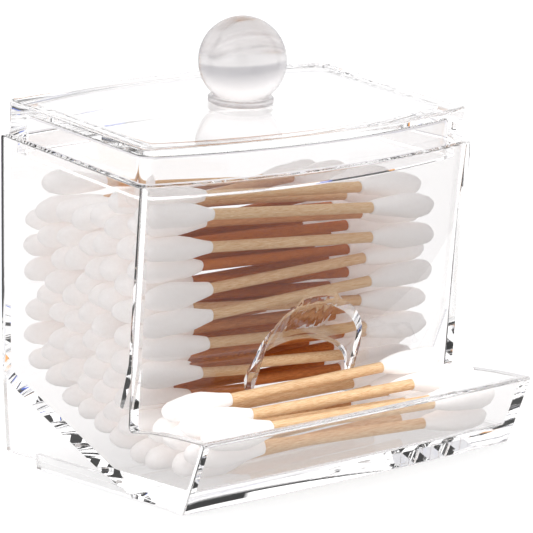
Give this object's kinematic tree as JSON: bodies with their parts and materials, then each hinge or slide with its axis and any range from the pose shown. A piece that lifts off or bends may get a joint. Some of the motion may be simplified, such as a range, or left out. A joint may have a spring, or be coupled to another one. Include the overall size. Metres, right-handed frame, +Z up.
{
  "type": "cotton swab holder",
  "caption": "Clear plastic box for cotton swabs with a loose lid, a ball knob, a sloped floor and a front tray that swabs roll into through an arched finger scoop.",
  "frame": {"origin": "centre of the whole object's bounding box, at the level of the surface it stands on", "axes": "+Z up; -Y towards the front, where the tray is; X along the box's long side"},
  "size_m": [0.086, 0.0772, 0.0928],
  "materials": {
    "clear_plastic": "clear, polished",
    "knob_plastic": "clear with a soft, slightly frosted look",
    "swab_stick": "plain",
    "cotton": "fluffy"
  },
  "bodies": {
    "holder": {"holder": "clear_plastic", "swab_sticks_1": "swab_stick", "swab_sticks_2": "swab_stick", "swab_sticks_3": "swab_stick", "swab_sticks_4": "swab_stick", "swab_sticks_5": "swab_stick", "swab_sticks_6": "swab_stick", "swab_sticks_7": "swab_stick", "swab_sticks_8": "swab_stick", "swab_cotton_1": "cotton", "swab_cotton_2": "cotton", "swab_cotton_3": "cotton", "swab_cotton_4": "cotton", "swab_cotton_5": "cotton", "swab_cotton_6": "cotton", "swab_cotton_7": "cotton", "swab_cotton_8": "cotton"},
    "lid": {"lid": "clear_plastic", "lid_knob": "knob_plastic"}
  },
  "joints": [
    {"name": "lid_lift", "type": "slide", "parent": "holder", "child": "lid", "axis": [0, -0.1288, 0.9917], "range_m": [0, 0.05]}
  ]
}
